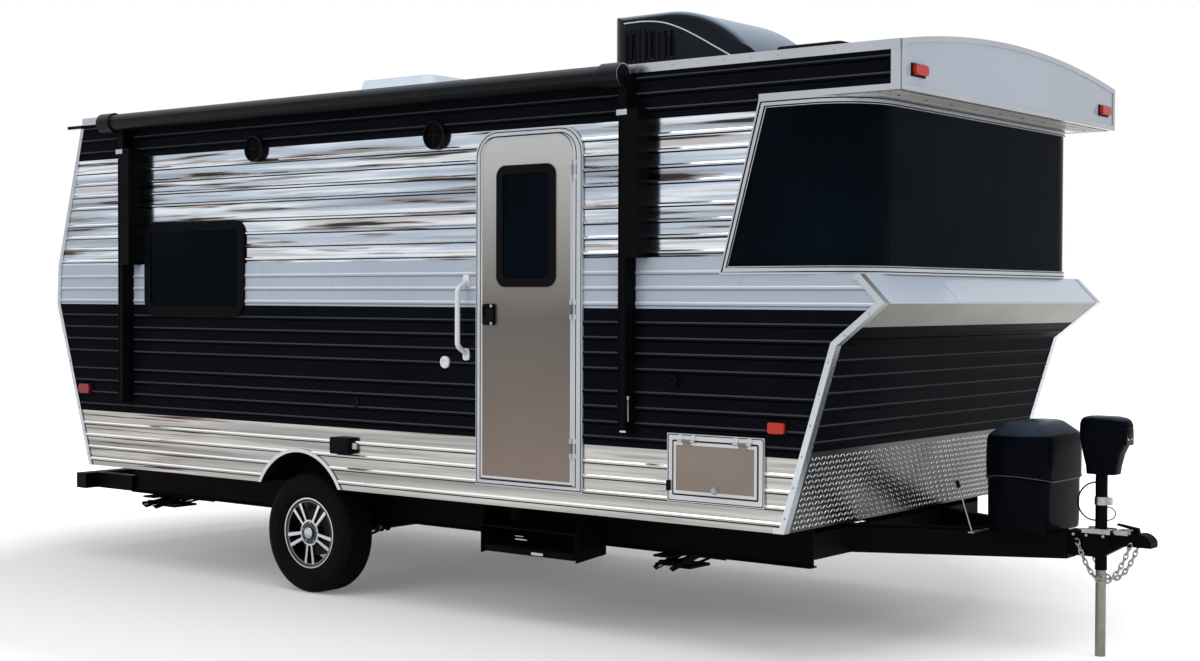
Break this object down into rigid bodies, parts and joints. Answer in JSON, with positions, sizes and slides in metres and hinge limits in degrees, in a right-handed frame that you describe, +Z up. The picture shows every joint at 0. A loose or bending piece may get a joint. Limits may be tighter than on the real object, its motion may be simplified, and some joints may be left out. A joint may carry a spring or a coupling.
{
  "type": "travel caravan",
  "caption": "Single-axle travel trailer with slanted ends, ribbed siding in black, white and bright bands, a wrap-round front window, a rolled awning, a folding step and a tongue jack.",
  "frame": {"origin": "on the ground, in the middle of the overall box", "axes": "+X towards the hitch, +Y to the left seen facing the hitch (street side), +Z up"},
  "size_m": [7.07, 2.6203, 3.305],
  "materials": {
    "floor_board": "matt black underside",
    "wall_panel": "plain sandwich board",
    "white_sheet": "gloss white paint",
    "roof_membrane": "white rubber membrane",
    "mirror_siding": "bright mill finish, nearly mirror",
    "black_siding": "gloss black paint",
    "white_siding": "gloss white paint",
    "tread_plate": "bright diamond tread plate",
    "dark_glass": "dark tinted",
    "bright_trim": "bright extrusion",
    "white_trim": "gloss white extrusion",
    "champagne_trim": "satin champagne",
    "champagne_leaf": "satin champagne",
    "black_plastic": "fine grain black",
    "white_plastic": "white",
    "tyre_rubber": "black tyre rubber",
    "alloy_wheel": "machined face with black windows",
    "cast_drum": "plain cast",
    "frame_steel": "satin black paint",
    "jack_black": "satin black",
    "zinc_steel": "zinc plated",
    "cover_plastic": "grained black moulding",
    "black_metal": "gloss black",
    "amber_lens": "translucent amber",
    "red_lens": "translucent red"
  },
  "bodies": {
    "trailer": {"air_conditioner": "black_plastic", "amber_lamps": "amber_lens", "awning_arms": "black_metal", "awning_roller": "black_metal", "axle": "frame_steel", "corner_stands": "frame_steel", "coupler": "frame_steel", "door_frame": "white_trim", "edge_trims": "bright_trim", "floor_panel": "floor_board", "frame_rails": "frame_steel", "front_brow": "white_sheet", "gas_bottle_cover": "cover_plastic", "glass_trim": "bright_trim", "grab_handle": "white_plastic", "hatch_frames": "champagne_trim", "jack_head": "black_plastic", "jack_leg": "zinc_steel", "leaf_springs": "frame_steel", "nose_cap": "white_sheet", "rear_bumper": "frame_steel", "red_lamps": "red_lens", "roof_panel": "roof_membrane", "roof_vent_base": "black_plastic", "safety_chains": "zinc_steel", "siding_black": "black_siding", "siding_mirror": "mirror_siding", "siding_roof": "black_siding", "siding_skirt": "mirror_siding", "siding_white": "white_siding", "skylight": "white_plastic", "step_carrier": "frame_steel", "tongue_frame": "frame_steel", "tongue_jack": "jack_black", "tread_plate": "tread_plate", "wall_fittings": "black_plastic", "wall_front": "wall_panel", "wall_left": "wall_panel", "wall_rear": "wall_panel", "wall_right": "wall_panel", "wheel_wells": "black_plastic", "window_frames": "black_plastic", "window_panes": "dark_glass", "wrap_glass": "dark_glass"},
    "wheel_right": {"rim_right": "alloy_wheel", "tyre_right": "tyre_rubber", "hub_drum_right": "cast_drum"},
    "wheel_left": {"rim_left": "alloy_wheel", "tyre_left": "tyre_rubber", "hub_drum_left": "cast_drum"},
    "door": {"entry_door": "champagne_leaf", "door_fittings": "black_plastic", "door_window_pane": "dark_glass"},
    "hatch_right_leaf": {"hatch_right": "champagne_leaf"},
    "hatch_left_leaf": {"hatch_left": "champagne_leaf"},
    "vent_lid": {"roof_vent_lid": "black_plastic"},
    "step_swing_arms": {"step_arms": "frame_steel"},
    "step_board": {"step_tread": "frame_steel"}
  },
  "joints": [
    {"name": "wheel_right_spin", "type": "hinge", "parent": "trailer", "child": "wheel_right", "pos_m": [-1.056, -1.0235, 0.35], "axis": [0, 1, 0], "continuous": true},
    {"name": "wheel_left_spin", "type": "hinge", "parent": "trailer", "child": "wheel_left", "pos_m": [-1.056, 1.1515, 0.35], "axis": [0, 1, 0], "continuous": true},
    {"name": "door_hinge", "type": "hinge", "parent": "trailer", "child": "door", "pos_m": [0.963, -1.1753, 1.67], "axis": [0, 0, 1], "range_deg": [0, 150]},
    {"name": "hatch_right_hinge", "type": "hinge", "parent": "trailer", "child": "hatch_right_leaf", "pos_m": [1.847, -1.1753, 1.0365], "axis": [-1, 0, 0], "range_deg": [0, 160]},
    {"name": "hatch_left_hinge", "type": "hinge", "parent": "trailer", "child": "hatch_left_leaf", "pos_m": [1.847, 1.3033, 1.0365], "axis": [1, 0, 0], "range_deg": [0, 160]},
    {"name": "roof_vent_hinge", "type": "hinge", "parent": "trailer", "child": "vent_lid", "pos_m": [1.547, 0.004, 3.0353], "axis": [0, -1, 0], "range_deg": [0, 70]},
    {"name": "step_swing", "type": "hinge", "parent": "trailer", "child": "step_swing_arms", "pos_m": [0.618, -1.046, 0.462], "axis": [-1, 0, 0], "range_deg": [0, 112.5]},
    {"name": "step_tread_level", "type": "hinge", "parent": "step_swing_arms", "child": "step_board", "pos_m": [0.618, -0.88077, 0.42203], "axis": [-1, 0, 0], "range_deg": [-112.5, 0]}
  ],
  "couplings": [
    {"joint": "step_tread_level", "follows": "step_swing", "ratio": -1}
  ]
}
